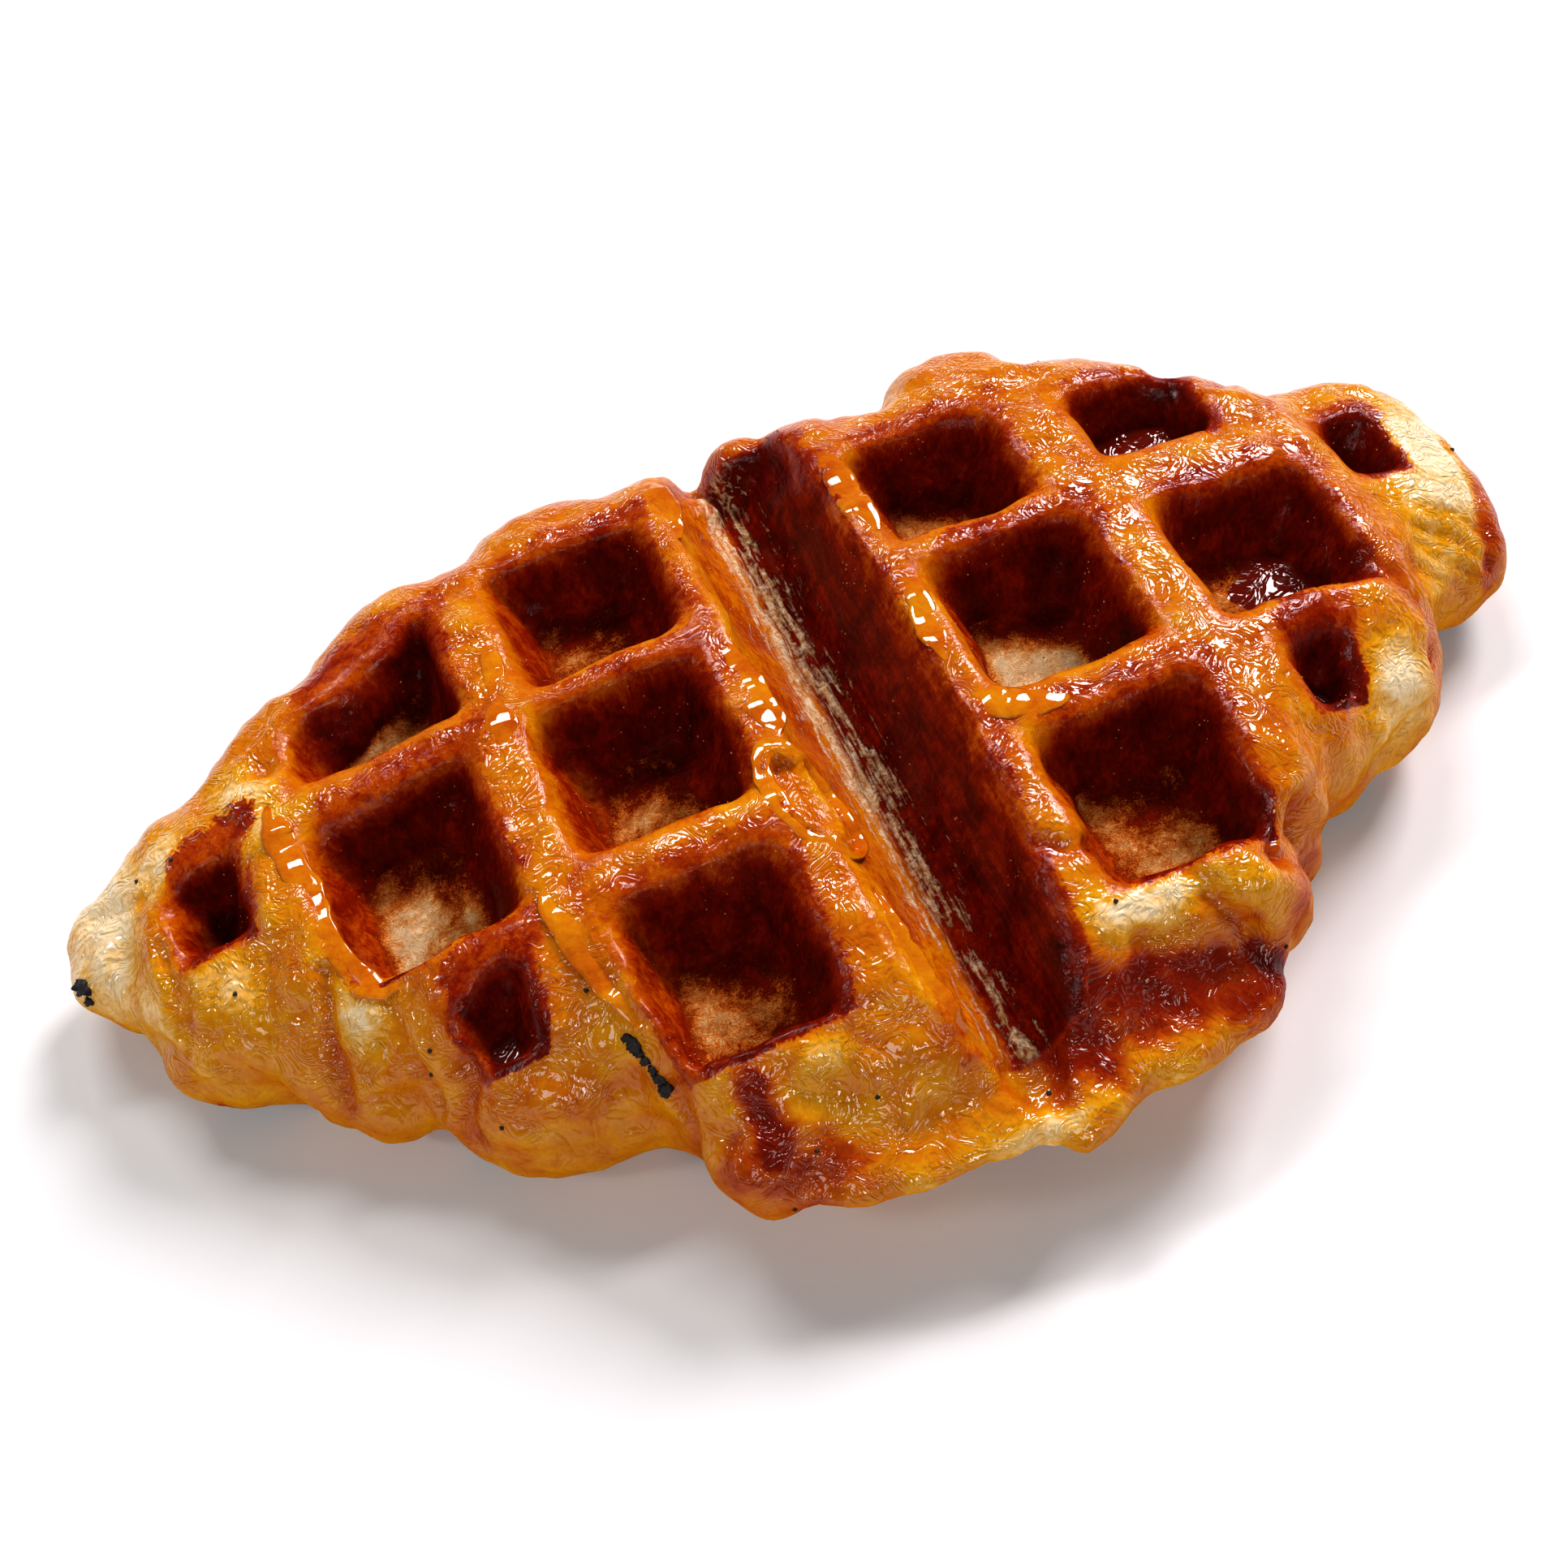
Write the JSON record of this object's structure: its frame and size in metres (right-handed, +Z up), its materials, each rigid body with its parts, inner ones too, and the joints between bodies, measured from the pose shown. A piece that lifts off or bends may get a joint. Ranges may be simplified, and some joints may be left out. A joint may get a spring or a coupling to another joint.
{
  "type": "croffle",
  "caption": "Glazed croffle: a rolled croissant pressed in a waffle iron, with square wells on both faces and a groove across the middle.",
  "frame": {"origin": "middle of the part's outline, at the level of the lower ribs that it rests on", "axes": "+X along the crescent, +Y away from the near side of the picture, +Z up"},
  "size_m": [0.158, 0.091, 0.0247],
  "materials": {
    "crust": "baked golden brown crust under a thin caramel glaze, semi-gloss",
    "glaze": "dark caramelised sugar glaze, glossy",
    "char": "burnt crumb, dull black"
  },
  "bodies": {
    "root": {"croffle": "crust"}
  },
  "joints": []
}
